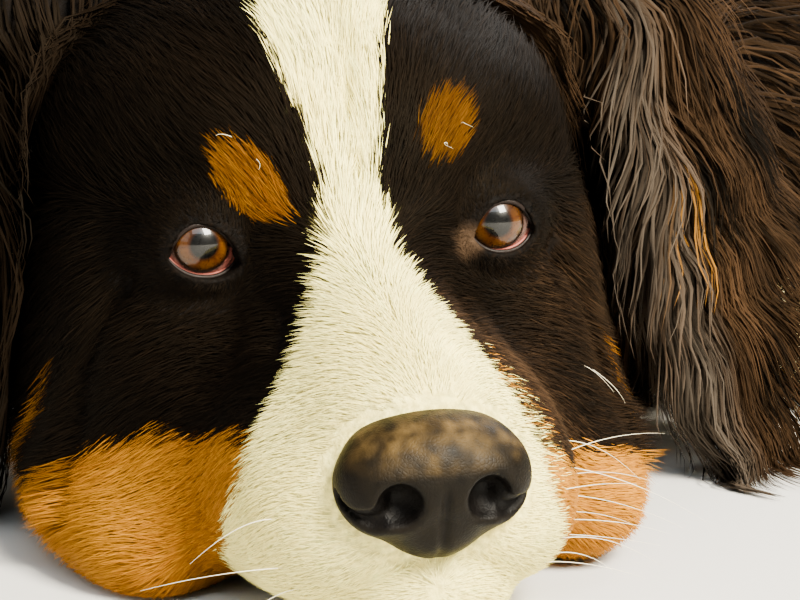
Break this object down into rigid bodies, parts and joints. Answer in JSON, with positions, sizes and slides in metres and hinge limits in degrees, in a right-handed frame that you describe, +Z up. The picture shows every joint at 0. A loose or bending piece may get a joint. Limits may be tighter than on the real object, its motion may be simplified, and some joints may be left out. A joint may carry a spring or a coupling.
{
  "type": "bernese mountain dog",
  "caption": "Life-size long-haired tricolour dog lying on its belly, chin on the ground between splayed forelegs, tail curled to one side",
  "frame": {"origin": "centre of the footprint on the floor", "axes": "+Z up; the tail end points to +Y and the nose to -Y; +X is the dog's left"},
  "size_m": [0.584, 1.284, 0.3826],
  "materials": {
    "black_coat": "glossy black hair",
    "white_coat": "cream white hair",
    "tan_coat": "golden tan hair",
    "nose_pad": "moist pebbled skin",
    "eye": "wet",
    "claw": "horn"
  },
  "bodies": {
    "root": {"claw_fore_left_1": "claw", "claw_fore_left_2": "claw", "claw_fore_left_3": "claw", "claw_fore_left_4": "claw", "claw_fore_right_1": "claw", "claw_fore_right_2": "claw", "claw_fore_right_3": "claw", "claw_fore_right_4": "claw", "claw_hind_left_1": "claw", "claw_hind_left_2": "claw", "claw_hind_left_3": "claw", "claw_hind_left_4": "claw", "claw_hind_right_1": "claw", "claw_hind_right_2": "claw", "claw_hind_right_3": "claw", "claw_hind_right_4": "claw", "ear_left": "black_coat", "ear_right": "black_coat", "eye_left": "eye", "eye_right": "eye", "forearm_left": "tan_coat", "forearm_right": "tan_coat", "forepaw_left": "white_coat", "forepaw_right": "white_coat", "head": "black_coat", "hindpaw_left": "white_coat", "hindpaw_right": "white_coat", "hock_left": "tan_coat", "hock_right": "tan_coat", "jaw": "white_coat", "neck": "black_coat", "nose": "nose_pad", "tail_base": "black_coat", "tail_middle": "black_coat", "tail_tip": "white_coat", "thigh_left": "black_coat", "thigh_right": "black_coat", "torso": "black_coat", "upper_arm_left": "black_coat", "upper_arm_right": "black_coat"}
  },
  "joints": []
}
